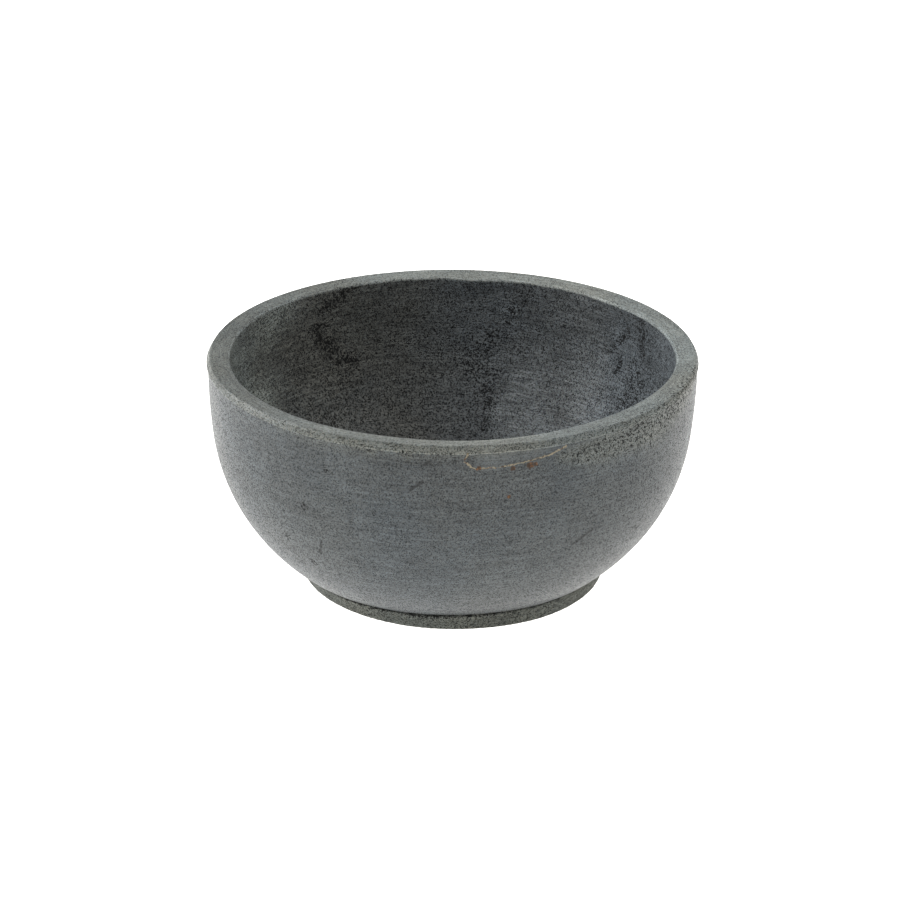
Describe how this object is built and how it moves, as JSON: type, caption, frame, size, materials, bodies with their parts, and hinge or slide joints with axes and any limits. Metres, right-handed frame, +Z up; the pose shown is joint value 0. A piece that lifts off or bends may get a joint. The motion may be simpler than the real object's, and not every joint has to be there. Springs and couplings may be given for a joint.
{
  "type": "stone mortar bowl",
  "caption": "Round lathe-turned volcanic stone mortar bowl with a flat rim, outer rim bevel, thick curved wall and a low foot ring.",
  "frame": {"origin": "centre of the flat underside of the foot, on the table", "axes": "+Z up along the turning axis, through the middle of the hollow; the bowl is the same all round"},
  "size_m": [0.2, 0.2, 0.0955],
  "materials": {
    "stone": "honed blue-grey volcanic stone, satin on the belly, coarse and porous on the foot and bevel"
  },
  "bodies": {
    "root": {"stone_bowl": "stone"}
  },
  "joints": []
}
